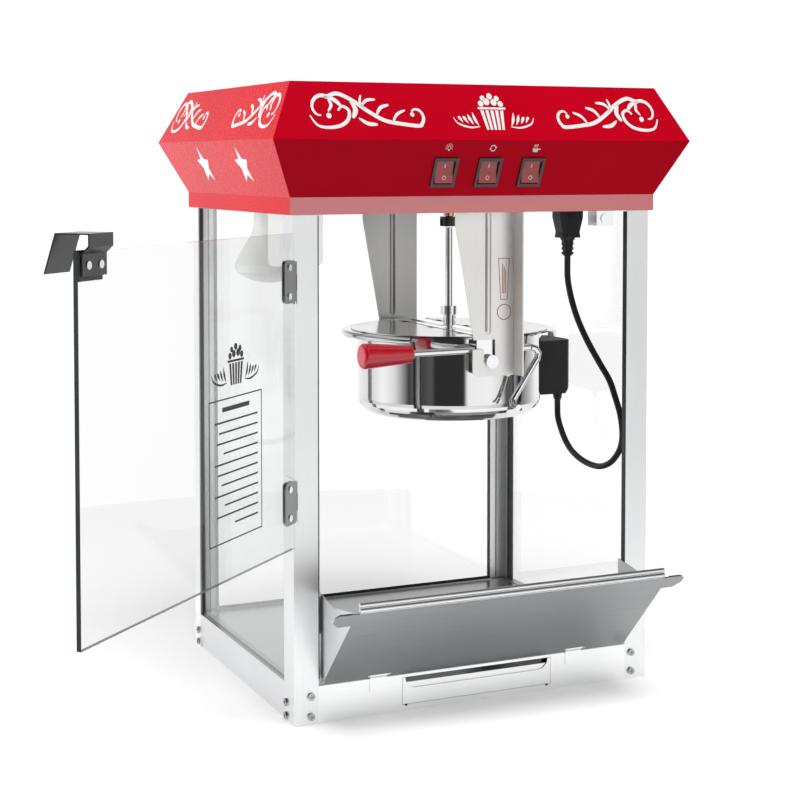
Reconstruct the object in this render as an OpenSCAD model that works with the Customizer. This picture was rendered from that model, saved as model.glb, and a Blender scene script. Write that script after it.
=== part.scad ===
// Countertop popcorn maker: a glass cabinet with a hinged door, a tilt-out serving
// flap and a crumb drawer, and a tilting kettle hung under a red canopy.
// X runs to the right along the front, Y to the back, Z up. The origin is the middle
// of the cabinet's base, on the surface that it stands on.

/* [Cabinet] */
// Width over the corner posts
cab_w = 392; // [388:1:396]
// Depth over the corner posts
cab_d = 311; // [309:1:315]
// Width of a post's front or rear leg
post_leg = 25; // [23:1:26]
// Width of a front post's side leg
post_side_leg = 27; // [25:1:28]
// Width of a rear post's side leg
rear_side_leg = 18.5; // [17.5:0.5:20]
// Thickness of the post sheet
post_t = 1.5; // [1.2:0.1:1.8]
// Height of the base front panel
base_h = 36.2; // [35:0.1:36.2]

/* [Canopy] */
// Width of the skirt
skirt_w = 400; // [400:1:404]
// Depth of the skirt
skirt_d = 318.5; // [318:0.5:322]
// Height of the skirt's lower edge
skirt_z = 488; // [487:1:490]
// Height of the fold between skirt and lower band
neck_z = 504.5; // [503:0.5:506]
// Height of the widest fold
wide_z = 559; // [556:1:562]
// Height of the top
top_z = 613.6; // [612:0.2:618]
// Overhang of the widest fold beyond the skirt
canopy_out = 26.5; // [26:0.5:28]
// Thickness of the canopy sheet
panel_t = 1.2; // [1:0.1:1.5]

/* [Door] */
// Angle at which the door stands open
door_open = 136.6; // [100:0.1:150]
// Thickness of the door glass
door_t = 4; // [3.5:0.5:4]
// Height of the door's lower edge
door_low = 175.5; // [175.5:0.5:180]
// Height of the door's upper edge
door_high = 471.7; // [468:0.1:472]

/* [Flap and drawer] */
// Angle at which the serving flap stands open
flap_open = 43.5; // [30:0.5:43.5]
// Length of the flap's face from its hinge to its lip
flap_len = 121.5; // [119:0.5:124]
// Half of the flap's width
flap_half = 168; // [160:1:168]
// Half of the drawer front's width
drawer_half = 82.6; // [70:0.2:82.6]

/* [Kettle] */
// Place of the kettle's middle along X
kettle_x = 43; // [43:1:44]
// Radius of the kettle
pot_r = 100; // [99:0.5:100]
// Height of the kettle's bottom
pot_z = 269; // [265:1:270]
// Radius over the rolled rim
rim_r = 117; // [116:0.5:117]
// Height of the rim's upper face
rim_z = 358.2; // [358:0.1:358.4]
// Radius of the lids
lid_r = 106.5; // [105:0.5:107]
// Place of the trunnions along X
trunnion_x = 32.6; // [32:0.1:33]
// Height of the trunnions
trunnion_z = 335; // [334:1:336]
// Distance of the hangers from the kettle's middle
hanger_y = 119; // [119:0.5:120]

/* [Switches and lamp] */
// Distance between neighbouring switches
switch_pitch = 47.5; // [40:0.5:50]
// Place of the middle switch along X
switch_x = 2; // [0:1:4]
// Height of the switches
switch_z = 528; // [526:1:530]
// Place of the lamp along X
lamp_x = -138; // [-140:1:-134]
// Place of the lamp along Y
lamp_y = 70; // [60:1:80]
// Radius of the lamp's bulb
bulb_r = 37; // [35:0.5:39]

/* [Hidden] */
$fn = 48;

x0 = cab_w / 2;
y0 = cab_d / 2;
sx = skirt_w / 2;
sy = skirt_d / 2;
band_slope = atan(canopy_out / (wide_z - neck_z));
pan_z = 490;
pane_t = 3;
rail_h = 37;
deck_z = 35;

// Door hinge axis, just outside the front left corner
door_x = -x0 - 1;
door_y = -y0 - 6.8;
door_face = -y0 - 2.5;
hinge_z = [198, 405];
hinge_h = 40;

// Flap hinge axis, above the base front panel
flap_y = -y0 + 0.5;
flap_z = 40;
flap_rod_r = 2;
flap_curl_r = 3.2;
clip_x = 109;
stop_depth = 5.8;

// Kettle details
hanger_t = 1.5;
pin_r = 4.7;
lid_axis_z = 356.9;
lid_axis_dx = 19.2;
wire_r = 0.8;
stub_r = 4;
pan_r = 97.6;

function arc(cx, cy, r, a0, a1, n) =
    [for (i = [0:n]) [cx + r * cos(a0 + (a1 - a0) * i / n), cy + r * sin(a0 + (a1 - a0) * i / n)]];

module block(lo, hi) {
    translate(lo) cube([hi[0] - lo[0], hi[1] - lo[1], hi[2] - lo[2]]);
}

module both_sides() {
    children();
    mirror([1, 0, 0]) children();
}

// A round bar along Y from y_low to y_high
module bar_y(x, z, r, y_low, y_high) {
    translate([x, y_low, z]) rotate([-90, 0, 0]) cylinder(r = r, h = y_high - y_low);
}

// A round bar along X from x_low to x_high
module bar_x(y, z, r, x_low, x_high) {
    translate([x_low, y, z]) rotate([0, 90, 0]) cylinder(r = r, h = x_high - x_low);
}

// A plate of thickness t in the X-Z plane, its front face at y
module plate_xz(y, t, points) {
    translate([0, y + t, 0]) rotate([90, 0, 0]) linear_extrude(t) polygon(points);
}

// Places a child on the canopy's lower front band, with its Z axis outwards
module on_band(x, z) {
    y = -sy - (z - neck_z) * tan(band_slope);
    translate([x, y, z]) rotate([90 + band_slope, 0, 0]) children();
}

// ---------------------------------------------------------------- cabinet

screw_z_front = [27, 7.5];
screw_z_side = [18, 5];
screw_x = x0 - 17.4;

module screw(length) {
    cylinder(r = 1.9, h = length);
    translate([0, 0, -1.8]) difference() {
        intersection() {
            cylinder(r = 3.7, h = 1.8);
            translate([0, 0, 4]) sphere(r = 6);
        }
        for (turn = [0, 90])
            rotate([0, 0, turn]) translate([-2, -0.4, -0.1]) cube([4, 0.8, 1]);
    }
}

// Runs the child at every base screw, with Z pointing into the cabinet
module at_base_screws() {
    for (side = [-1, 1]) {
        for (z = screw_z_front) {
            translate([side * screw_x, -y0, z]) rotate([-90, 0, 0]) children();
            translate([side * screw_x, y0, z]) rotate([90, 0, 0]) children();
        }
        for (z = screw_z_side, y = [-y0 + 21.5, y0 - 12.5])
            translate([side * x0, y, z]) rotate([0, -side * 90, 0]) children();
    }
}

module post_screws() {
    color("silver") at_base_screws() screw(4.5);
}

module screw_holes() {
    at_base_screws() translate([0, 0, -1]) cylinder(r = 2, h = 8);
}

module corner_post(right, rear) {
    side_leg = rear == 0 ? post_side_leg : rear_side_leg;
    color("gainsboro") difference() {
        mirror([right, 0, 0]) mirror([0, rear, 0]) {
            block([-x0, -y0, 0], [-x0 + post_leg, -y0 + post_t, 503]);
            block([-x0, -y0, 0], [-x0 + post_t, -y0 + side_leg, 503]);
            // The front posts carry a tab that stops the flap's cheek
            if (rear == 0)
                block([-x0 + post_leg - 2.5, -y0, 105], [-x0 + post_leg - 1, -y0 + stop_depth, 120]);
        }
        screw_holes();
    }
}

module post_front_left() { corner_post(0, 0); }
module post_front_right() { corner_post(1, 0); }
module post_rear_left() { corner_post(0, 1); }
module post_rear_right() { corner_post(1, 1); }

drawer_low = 6.8;
drawer_high = 33.2;

module base_front_panel() {
    flush = x0 - post_leg;
    color("whitesmoke") difference() {
        union() {
            block([-flush, -y0, 0], [flush, -y0 + 1.2, base_h]);
            both_sides() {
                block([flush - 1.2, -y0, 0], [flush, -y0 + 2.7, base_h]);
                block([flush - 1.2, -y0 + post_t, 0], [x0 - 5, -y0 + 2.7, base_h]);
            }
        }
        block([-drawer_half - 0.4, -y0 - 1, drawer_low - 0.4], [drawer_half + 0.4, -y0 + 3, drawer_high + 0.4]);
        both_sides() translate([drawer_half - 4, -y0 - 1, drawer_low - 0.6]) rotate([-90, 0, 0]) cylinder(r = 1.6, h = 4);
        screw_holes();
    }
}

module side_rail() {
    front = -y0 + post_side_leg;
    back = y0 - rear_side_leg;
    inner = x0 - post_t;
    difference() {
        union() {
            block([-x0, front, 12], [-x0 + 1.2, back, rail_h]);
            block([-inner, -y0 + 4, 0], [-inner + 1.2, y0 - 4, 13.2]);
            block([-x0, front, 12], [-inner + 1.2, back, 13.2]);
            block([-x0, front, rail_h - 1.2], [-x0 + 9, back, rail_h]);
            block([-inner, -y0 + 4, 0], [-inner + 1.2, front + 1, rail_h - 1.5]);
            block([-inner, back - 1, 0], [-inner + 1.2, y0 - 4, rail_h - 1.5]);
        }
        screw_holes();
    }
}

module both_ends() {
    children();
    mirror([0, 1, 0]) children();
}

module base_rail_left() { color("gainsboro") side_rail(); }
module base_rail_right() { color("gainsboro") mirror([1, 0, 0]) side_rail(); }

module base_rail_rear() {
    flush = x0 - post_leg;
    color("gainsboro") difference() {
        union() {
            block([-flush, y0 - 1.2, 0], [flush, y0, rail_h]);
            block([-flush, y0 - 9, rail_h - 1.2], [flush, y0, rail_h]);
            both_sides() {
                block([flush - 1.2, y0 - 2.7, 0], [flush, y0, rail_h]);
                block([flush - 1.2, y0 - 2.7, 0], [x0 - 5, y0 - post_t, rail_h]);
            }
        }
        screw_holes();
    }
}

module bottom_plate() {
    color("gainsboro") block([-x0 + 3, -y0 + 8, 0], [x0 - 3, y0 - 3, 1.2]);
}

deck_slots = 9;

module floor_deck() {
    color("whitesmoke") difference() {
        block([-x0 + 9.6, -y0 + 3, deck_z], [x0 - 9.6, y0 - 9.6, deck_z + 1.2]);
        for (i = [0:deck_slots - 1])
            block([-62 + 14 * i, -110, deck_z - 1], [-56 + 14 * i, 10, deck_z + 3]);
    }
}

module drawer_guides() {
    color("silver") both_sides() {
        block([drawer_half + 1, -y0 + 8, 1.2], [drawer_half + 2.2, 60, deck_z]);
        block([drawer_half - 3.5, -y0 + 8, 5.2], [drawer_half + 2.2, 60, 6.4]);
    }
    color("silver") block([-drawer_half - 2.2, 60, 1.2], [drawer_half + 2.2, 61.2, 20]);
}

// The drawer front has a wide scoop along its upper edge as a finger pull
module crumb_drawer() {
    half = drawer_half;
    low = drawer_low;
    tray = half - 2.6;
    color("whitesmoke") {
        plate_xz(-y0, 1.2, concat(
            [[-half, low], [half, low], [half, drawer_high]],
            [[half - 3, drawer_high]],
            arc(half - 14, drawer_high, 11, 0, -90, 8),
            arc(-half + 14, drawer_high, 11, -90, -180, 8),
            [[-half, drawer_high]]
        ));
        difference() {
            block([-tray, -y0 + 1.2, low], [tray, 52, 28]);
            block([-tray + 1, -y0 + 14, low + 1], [tray - 1, 51, 30]);
            block([-tray - 1, -y0 + 2.4, low + 15], [tray + 1, -y0 + 13, 30]);
            block([-tray + 1, -y0 + 2.4, low + 1], [tray - 1, -y0 + 15, 30]);
        }
    }
}

pane_x = x0 - 3.5;

module side_pane() {
    block([-pane_x, -y0 + 15.5, rail_h], [-pane_x + pane_t, y0 - 15.5, skirt_z - 1]);
}

module rear_pane() {
    block([-x0 + 16, y0 - 5.9, rail_h], [x0 - 16, y0 - 5.9 + pane_t, skirt_z - 1]);
}

module pane_left() { color([0.8, 0.9, 0.88, 0.35]) side_pane(); }
module pane_right() { color([0.8, 0.9, 0.88, 0.35]) mirror([1, 0, 0]) side_pane(); }
module pane_rear() { color([0.8, 0.9, 0.88, 0.35]) rear_pane(); }

module pane_seals() {
    high = skirt_z - 1;
    front = -y0 + post_side_leg;
    back = y0 - rear_side_leg;
    edge = x0 - post_leg;
    color("black") {
        both_sides() {
            block([-x0 + post_t, front - 10, rail_h], [-pane_x, front + 3, high]);
            block([-x0 + post_t, back - 3, rail_h], [-pane_x, back + 5, high]);
            block([-edge - 2, y0 - 2.9, rail_h], [-edge + 1.4, y0 - post_t, high]);
        }
        block([-edge, y0 - 7.2, rail_h], [edge, y0 - 5.9, rail_h + 3]);
    }
}

// Rubber edge trims on the inner edges of the two front posts
module door_trims() {
    edge = x0 - post_leg;
    color("black") both_sides() {
        block([edge - 1.2, -y0, rail_h + 6], [edge, -y0 + 6, skirt_z - 1]);
        block([edge, -y0 + post_t, 121], [edge + 5, -y0 + post_t + 1.2, skirt_z - 1]);
    }
}

// ---------------------------------------------------------------- canopy

// Outline of the canopy sheet: distance outwards from the skirt, and height
canopy_profile = [
    [0, skirt_z], [0, neck_z], [canopy_out, wide_z], [0, top_z],
    [-10, top_z], [-10, top_z - panel_t], [-1.3 * panel_t, top_z - panel_t],
    [canopy_out - 1.4 * panel_t, wide_z], [-panel_t, neck_z + 0.3],
    [-panel_t, skirt_z + panel_t], [-3.6, skirt_z + panel_t], [-3.6, skirt_z]
];

// One canopy side of the given half width, facing -Y at distance out, with mitred ends
module canopy_side(half, out) {
    reach = canopy_out + 1;
    back = 30;
    intersection() {
        rotate([90, 0, 90]) translate([0, 0, -half - reach]) linear_extrude(2 * (half + reach))
            polygon([for (p = canopy_profile) [-out - p[0], p[1]]]);
        translate([0, 0, skirt_z - 1]) linear_extrude(top_z - skirt_z + 2) polygon([
            [-half - reach, -out - reach], [half + reach, -out - reach],
            [half - back, -out + back], [-half + back, -out + back]
        ]);
    }
}

module switch_cut() {
    block([-11, -14, -8], [11, 14, 8]);
}

module canopy_front() {
    color("red") difference() {
        canopy_side(sx, sy);
        for (i = [-1:1]) on_band(switch_x + i * switch_pitch, switch_z) switch_cut();
    }
}

inlet_x = 120;

module canopy_rear() {
    color("red") difference() {
        rotate([0, 0, 180]) canopy_side(sx, sy);
        rotate([0, 0, 180]) on_band(-inlet_x, switch_z) block([-13.6, -10.1, -8], [13.6, 10.1, 8]);
        for (i = [0:5])
            rotate([0, 0, 180]) on_band(20 + 12 * i, switch_z) block([-2, -14, -8], [2, 14, 8]);
    }
}

module canopy_left() { color("red") rotate([0, 0, -90]) canopy_side(sy, sx); }
module canopy_right() { color("red") rotate([0, 0, 90]) canopy_side(sy, sx); }

module top_cover() {
    inset = 1.4 * panel_t;
    color("red") block([-sx + inset, -sy + inset, top_z - 2 * panel_t], [sx - inset, sy - inset, top_z - panel_t]);
}

outlet_x = 150;
outlet_y = -70;

module ceiling_pan() {
    fx = x0 - post_t;
    fy = y0 - post_t;
    color("silver") difference() {
        block([-fx, -fy, pan_z], [fx, fy, pan_z + 14]);
        block([-fx + 1.2, -fy + 1.2, pan_z + 1.2], [fx - 1.2, fy - 1.2, pan_z + 15]);
        translate([kettle_x, 0, pan_z - 1]) cylinder(r = 6, h = 4);
        translate([lamp_x, lamp_y, pan_z - 1]) cylinder(r = 22, h = 4);
        block([outlet_x - 16, outlet_y - 13, pan_z - 1], [outlet_x + 16, outlet_y + 13, pan_z + 4]);
    }
    // Shade plate bent down in front of the lamp
    color("silver") plate_xz(26, panel_t, concat(
        [[-93, pan_z + 1]], [[-155, pan_z + 1]],
        arc(-149, 434, 6, 180, 270, 6), arc(-99, 434, 6, 270, 360, 6)
    ));
}

// ---------------------------------------------------------------- drive and electrics

module gear_motor() {
    top = pan_z + 36;
    color("silver") difference() {
        union() {
            block([kettle_x - 35, -30, pan_z + 1.2], [kettle_x + 35, 30, top]);
            block([kettle_x - 44, -20, pan_z + 1.2], [kettle_x + 44, 20, pan_z + 4]);
        }
        translate([kettle_x, 0, pan_z]) cylinder(r = 6, h = 11);
        translate([kettle_x, 0, pan_z]) cylinder(r = stub_r + 0.06, h = 26);
    }
    color("dimgray") translate([kettle_x, 0, top]) {
        cylinder(r = 27, h = 48);
        translate([0, 0, 48]) cylinder(r = 10, h = 6);
    }
}

module shaft_bush() {
    color("gold") translate([kettle_x, 0, 479.5]) difference() {
        cylinder(r = 6, h = 20.5);
        translate([0, 0, -1]) cylinder(r = stub_r + 0.06, h = 23);
    }
}

collar_z = 468.5;
collar_h = 10.5;
tang_half = 1.9;

// Spindle and grooved collar; the slot across its foot drives the stirrer's shaft and
// lets it leave towards the left when the kettle tips
module drive_collar() {
    color("black") translate([kettle_x, 0, collar_z]) difference() {
        union() {
            cylinder(r = 9.8, h = collar_h, $fn = 60);
            translate([0, 0, collar_h - 1]) cylinder(r = stub_r, h = 514 - collar_z - collar_h + 1);
        }
        block([-11, -tang_half - 0.3, -1], [11, tang_half + 0.3, 7.7]);
        for (i = [0:17])
            rotate([0, 0, i * 20]) translate([9.9, 0, -1]) cylinder(r = 0.8, h = collar_h - 1, $fn = 16);
    }
}

module lamp_socket() {
    color("white") translate([lamp_x, lamp_y, pan_z + 1.2]) difference() {
        union() {
            cylinder(r = 24, h = 6);
            cylinder(r = 19, h = 36);
        }
        translate([0, 0, -1]) cylinder(r = 17, h = 8);
        translate([0, 0, 5]) cylinder(r = 14.2, h = 24);
    }
}

module flood_bulb() {
    z = 408;
    color("white") translate([lamp_x, lamp_y, 0]) rotate_extrude() polygon(concat(
        [[0, z]],
        arc(0, z + 58, 58, -84, -52, 8),
        arc(bulb_r - 6, z + 19, 6, -40, 30, 6),
        [[28, z + 38], [20.5, z + 50], [17, z + 61], [15.8, z + 80], [13.8, z + 92], [13, z + 96]],
        [[13, z + 105], [9, z + 108], [5, z + 112.2], [0, z + 112.2]]
    ));
}

module kettle_outlet() {
    color("black") difference() {
        union() {
            block([outlet_x - 15.8, outlet_y - 12.8, pan_z], [outlet_x + 15.8, outlet_y + 12.8, pan_z + 22]);
            block([outlet_x - 20, outlet_y - 16, skirt_z + 0.8], [outlet_x + 20, outlet_y + 16, pan_z]);
        }
        for (side = [-1, 1])
            block([outlet_x + side * 6.35 - 1.1, outlet_y - 4.2, skirt_z], [outlet_x + side * 6.35 + 1.1, outlet_y + 4.2, pan_z + 17]);
    }
}

catch_x = 148;

module magnet_catch() {
    color("silver") {
        block([catch_x - 10, -y0 + 5.7, 472.5], [catch_x + 10, -y0 + 23, pan_z]);
        translate([catch_x, -y0 + 5.7, 480]) rotate([90, 0, 0]) cylinder(r = 5, h = 0.8);
    }
}

module mains_inlet() {
    color("black") rotate([0, 0, 180]) on_band(-inlet_x, switch_z) {
        difference() {
            union() {
                block([-16, -12.5, 0], [16, 12.5, 2.2]);
                block([-13.4, -9.9, -18], [13.4, 9.9, 0]);
            }
            block([-12, -8, -14], [12, 8, 3]);
        }
        for (pin = [[-7, -2], [0, 2], [7, -2]])
            block([pin[0] - 1, pin[1] - 2, -15], [pin[0] + 1, pin[1] + 2, -6.5]);
    }
}

rocker_axis = -2;
rocker_pin = 1.4;

module switch_housing() {
    difference() {
        union() {
            block([-12.8, -15.5, 0], [12.8, 15.5, 1.8]);
            block([-10.8, -13.8, -18], [10.8, 13.8, 0]);
        }
        block([-9.9, -12.3, -12], [9.9, 12.3, 3]);
        translate([-10.4, 0, rocker_axis]) rotate([0, 90, 0]) cylinder(r = rocker_pin + 0.05, h = 20.8);
    }
    for (y = [-8, 0, 8]) block([-3, y - 0.4, -26], [3, y + 0.4, -17.9]);
}

module switch_housings() {
    color("black") for (i = [-1:1]) on_band(switch_x + i * switch_pitch, switch_z) switch_housing();
}

// A rocker rests with its upper half pressed in
module rocker(i) {
    end = 11.2;
    color("firebrick") on_band(switch_x + i * switch_pitch, switch_z) translate([0, 0, rocker_axis])
        rotate([-11, 0, 0]) {
            translate([-9.5, 0, 0]) rotate([90, 0, 90]) linear_extrude(19) polygon([
                [-end, 3.4], [0, 1.9], [end, 3.4], [end, 0], [6, -5], [-6, -5], [-end, 0]
            ]);
            translate([-10.3, 0, 0]) rotate([0, 90, 0]) cylinder(r = rocker_pin, h = 20.6);
        }
}

module rocker_lamp() { rocker(-1); }
module rocker_motor() { rocker(0); }
module rocker_heat() { rocker(1); }

// ---------------------------------------------------------------- door

// Turns a child from the closed door's place to the open door's place
module at_door() {
    translate([door_x, door_y, 0]) rotate([0, 0, -door_open]) translate([-door_x, -door_y, 0]) children();
}

glass_x = door_x + 9.5;
glass_w = 361.8;
pull_x = glass_x + glass_w - 37.8;
pull_w = 33;
clamp_screws = [8.6, 35.3];

module door_screw_axes() {
    for (z = hinge_z, dz = clamp_screws) translate([door_x + 21, door_face, z + dz]) rotate([90, 0, 0]) children();
    for (dx = [8, 25]) translate([pull_x + dx, door_face, 461.7]) rotate([90, 0, 0]) children();
}

module door_glass() {
    color([0.75, 0.9, 0.85, 0.35]) at_door() difference() {
        block([glass_x, door_face - door_t, door_low], [glass_x + glass_w, door_face, door_high]);
        door_screw_axes() translate([0, 0, -1]) cylinder(r = 2, h = door_t + 2);
    }
}

// Fixed hinge leaves on the post's side, with two knuckles and the pin each
module door_hinge_leaves() {
    color("silver") for (z = hinge_z) {
        block([-x0 - 1.2, door_y + 3.8, z], [-x0, -y0 + 20, z + hinge_h]);
        for (dz = [0, 28.4]) {
            translate([door_x, door_y, z + dz]) cylinder(r = 2.6, h = 11.6);
            block([-x0 - 1.2, door_y, z + dz], [-x0, door_y + 4, z + dz + 11.6]);
        }
        translate([door_x, door_y, z]) cylinder(r = 1.5, h = hinge_h);
        for (dz = [8, 32]) translate([-x0 - 1.2, -y0 + 13, z + dz]) rotate([0, -90, 0]) cylinder(r = 3, h = 1.2);
    }
}

clamp_t = 1.1;

// A clamp plate with rounded corners, its front face at y and its edges at near and far
module clamp_plate(y, z, near, far) {
    corner = 4;
    left = door_x + near + corner;
    right = door_x + far - corner;
    low = z + 2 + corner;
    high = z + 41.5 - corner;
    plate_xz(y, clamp_t, concat(
        arc(left, low, corner, 180, 270, 4), arc(right, low, corner, 270, 360, 4),
        arc(right, high, corner, 0, 90, 4), arc(left, high, corner, 90, 180, 4)
    ));
}

// Moving leaves that clamp the glass: a plate on each face, joined beside the glass edge
module door_hinge_clamps() {
    outer = door_face - door_t;
    color("silver") at_door() for (z = hinge_z) difference() {
        union() {
            translate([door_x, door_y, z + 12]) cylinder(r = 2.6, h = 16);
            block([door_x, outer - clamp_t, z + 12], [door_x + 6, outer, z + 28]);
            clamp_plate(outer - clamp_t, z, 5, 25);
            clamp_plate(door_face, z, 7.5, 31);
            block([door_x + 8, outer - 0.5, z + 7], [door_x + 9.2, door_face + 0.5, z + 36]);
        }
        translate([door_x, door_y, z + 11]) cylinder(r = 1.55, h = 18);
        door_screw_axes() translate([0, 0, -3]) cylinder(r = 2, h = door_t + 6);
    }
}

module door_screws() {
    color("silver") at_door() {
        door_screw_axes() translate([0, 0, -clamp_t]) {
            cylinder(r = 1.95, h = door_t + 2 * clamp_t);
            translate([0, 0, -0.8]) cylinder(r = 3.2, h = 0.8);
        }
    }
}

// The pull is one bent strip: screw plate, S bend, top, and a sloping outer plate
module door_pull() {
    t = clamp_t;
    f = door_face;
    back = f + 6.9;
    color("dimgray") at_door() difference() {
        translate([pull_x, 0, 0]) rotate([90, 0, 90]) linear_extrude(pull_w) polygon([
            [f + t, 453.5], [f + t, 470.2], [back, 475.5], [back, 485.5],
            [f - 23, 485.5], [f - 33, 455], [f - 31.8, 454.6], [f - 22, 485.5 - t], [back - t, 485.5 - t],
            [back - t, 476.2], [f, 470.8], [f, 453.5]
        ]);
        door_screw_axes() translate([0, 0, -3]) cylinder(r = 2, h = 4);
    }
}

module door_pad() {
    color("black") at_door() difference() {
        block([pull_x - 2, door_face - door_t - 1.2, 449.5], [pull_x + pull_w + 2, door_face - 1, door_high + 1.2]);
        block([glass_x, door_face - door_t, door_low], [glass_x + glass_w, door_face + 0.1, door_high]);
        door_screw_axes() translate([0, 0, -3]) cylinder(r = 2, h = door_t + 6);
    }
}

// ---------------------------------------------------------------- serving flap

module at_flap() {
    translate([0, flap_y, flap_z]) rotate([flap_open, 0, 0]) children();
}

knuckles = [[-166, -121], [-97, 97], [121, 166]];

// Rod in two clips that hook over the base front panel
module flap_rod() {
    color("silver") {
        bar_x(flap_y, flap_z, flap_rod_r, -167.5, 167.5);
        both_sides() {
            bar_x(flap_y, flap_z, flap_curl_r, clip_x - 9, clip_x + 9);
            block([clip_x - 9, -y0 - 1.2, 24], [clip_x + 9, -y0, flap_z]);
            block([clip_x - 9, -y0 - 1.2, base_h], [clip_x + 9, flap_y + 2, flap_z]);
        }
    }
}

// Cheek outline in the closed flap's frame: depth into the cabinet, height
cheek = [[-2.2, 4], [15, 1], [18.7, 9.8], [63.8, 57.3], [30, 81], [-2.2, flap_len]];
// The cheek's rear edge and its bend stand upright when the flap is open at this angle
stop_turn = 43.5;
lip_lean = 54;
ear = [
    [flap_half - 1, 103], [flap_half + 13, 103], [flap_half + 20, 111],
    [flap_half + 20, 118], [flap_half + 16, 122], [flap_half - 1, 122]
];

module flap() {
    face = -flap_curl_r;
    color("gray") at_flap() {
        difference() {
            union() {
                block([-flap_half, face, 0], [flap_half, face + 1, flap_len]);
                for (k = knuckles) bar_x(0, 0, flap_curl_r, k[0], k[1]);
                // Lip that leans back into the cabinet, with two rolled beads along it
                translate([0, face + 1, flap_len - 0.4]) rotate([-lip_lean, 0, 0]) {
                    block([4.5 - flap_half, -0.9, 0], [flap_half - 4.5, 0.1, 7.5]);
                    for (z = [2.6, 7.4]) bar_x(-0.4, z, 2.2, 4.5 - flap_half, flap_half - 4.5);
                }
                // Ears that stop the flap against the posts
                both_sides() plate_xz(face, 1, ear);
            }
            bar_x(0, 0, flap_rod_r + 0.05, -flap_half - 1, flap_half + 1);
            for (gap = [[-121, -97], [97, 121]])
                block([gap[0], -4, -5], [gap[1], 4, 5]);
            both_sides() block([166, -4, -5], [flap_half + 1, 4, 4]);
        }
        both_sides() {
            rotate([90, 0, 90]) translate([0, 0, flap_half - 1]) linear_extrude(1) polygon(cheek);
            // Bent edge of the cheek that catches behind the post
            rotate([-stop_turn, 0, 0])
                block([flap_half - 1, stop_depth, 45], [flap_half + 6.5, stop_depth + 1, 81]);
        }
    }
}

// ---------------------------------------------------------------- kettle

module at_kettle() {
    translate([kettle_x, 0, 0]) children();
}

// Hanger outline: X and height, with the keyhole that takes the trunnion from the left
module hanger_plate() {
    tx = trunnion_x;
    tz = trunnion_z;
    difference() {
        union() {
            plate_xz(-hanger_y - hanger_t / 2, hanger_t, concat(
                [[-8, pan_z], [-8, 473.5], [12.9, 357.3]],
                [[12, 347.5], [11.9, 326]],
                arc(17.9, 326, 6, 180, 270, 6),
                arc(57.5, 322, 2, -90, 0, 3),
                [[59.5, pan_z]]
            ));
            intersection() {
                hanger_bead(2.2);
                block([20, -hanger_y - 3, 360], [40, -hanger_y, pan_z]);
            }
        }
        hanger_bead(2.2 + hanger_t);
        hanger_cut([10, 347.8], [37.2, 357.3]);
        hanger_cut([24.6, 338.5], [37.2, 350]);
        bar_y(tx, tz, pin_r + 0.08, -hanger_y - 2, -hanger_y + 2);
        hanger_cut([tx - pin_r - 0.08, tz], [tx + pin_r + 0.08, 342]);
    }
    // Outward flange, top flange and the kettle's rest
    block([58, -hanger_y - 20.5, 320.5], [59.5, -hanger_y + hanger_t / 2, pan_z]);
    block([-8, -hanger_y - hanger_t / 2, pan_z - hanger_t], [58, -hanger_y + 14, pan_z]);
    block([51, -hanger_y, trunnion_z - 16.4], [55, -hanger_y + 6, trunnion_z - 13.4]);
}

// The pressed-out stiffening bead, a round-ended bar standing behind the plate
module hanger_bead(behind) {
    translate([29, -hanger_y + behind, 366]) {
        cylinder(r = 4.6, h = 120);
        sphere(r = 4.6);
    }
}
module hanger_cut(lo, hi) {
    block([lo[0], -hanger_y - 2, lo[1]], [hi[0], -hanger_y + 2, hi[1]]);
}

module hanger_front() { color("gainsboro") hanger_plate(); }
module hanger_rear() { color("gainsboro") mirror([0, 1, 0]) hanger_plate(); }

// Wedges in front and behind, where the rolled edge is cut away to clear the hangers
module rim_gaps() {
    for (turn = [0, 180]) rotate([0, 0, turn]) translate([0, 0, 340]) linear_extrude(30)
        polygon([[0, 0], [-140, -135], [140, -135]]);
}

rim_flat = 108.5;
bead_r = 3.4;

module kettle_pan() {
    low = 287;
    color("lightgray") at_kettle() {
        rotate_extrude($fn = 96) polygon(concat(
            [[stub_r + 3, low], [pan_r - 8, low]],
            arc(pan_r - 8, low + 8, 8, -90, 0, 5),
            [[pan_r, rim_z - 1.4], [rim_flat, rim_z - 1.4], [rim_flat, rim_z], [pan_r - 1.2, rim_z]],
            arc(pan_r - 8, low + 8, 6.8, 0, -90, 5),
            [[stub_r + 3, low + 1.2]]
        ));
        difference() {
            rotate_extrude($fn = 96) union() {
                translate([rim_r - bead_r, rim_z - bead_r]) circle(r = bead_r);
                polygon([
                    [rim_flat - 1, rim_z - 1.4], [rim_r - bead_r, rim_z - 1.4],
                    [rim_r - bead_r, rim_z], [rim_flat - 1, rim_z]
                ]);
            }
            rim_gaps();
            translate([0, 0, 340]) cylinder(r = rim_flat - 0.5, h = 30);
        }
        // Bearing cup for the stirrer
        translate([0, 0, low]) difference() {
            cylinder(r = stub_r + 4, h = 10);
            translate([0, 0, 2]) cylinder(r = stub_r + 0.06, h = 9);
        }
    }
}

module kettle_shell() {
    corner = 18;
    color("silver") at_kettle() rotate_extrude($fn = 96) polygon(concat(
        [[0, pot_z]],
        arc(pot_r - corner, pot_z + corner, corner, -90, 0, 8),
        [[pot_r, rim_z - 1.4], [pan_r, rim_z - 1.4], [pan_r, rim_z - 8], [pot_r - 1.2, rim_z - 9]],
        arc(pot_r - corner, pot_z + corner, corner - 1.2, 0, -90, 8),
        [[0, pot_z + 1.2]]
    ));
}

// Heater plate clamped under the pan, with its ring element and thermostat
module heater() {
    color("dimgray") at_kettle() {
        translate([0, 0, 283]) cylinder(r = 80, h = 4);
        rotate_extrude() translate([58, 279.5]) circle(r = 4);
        translate([18, 0, 275]) cylinder(r = 11, h = 8.5);
    }
}

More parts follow.
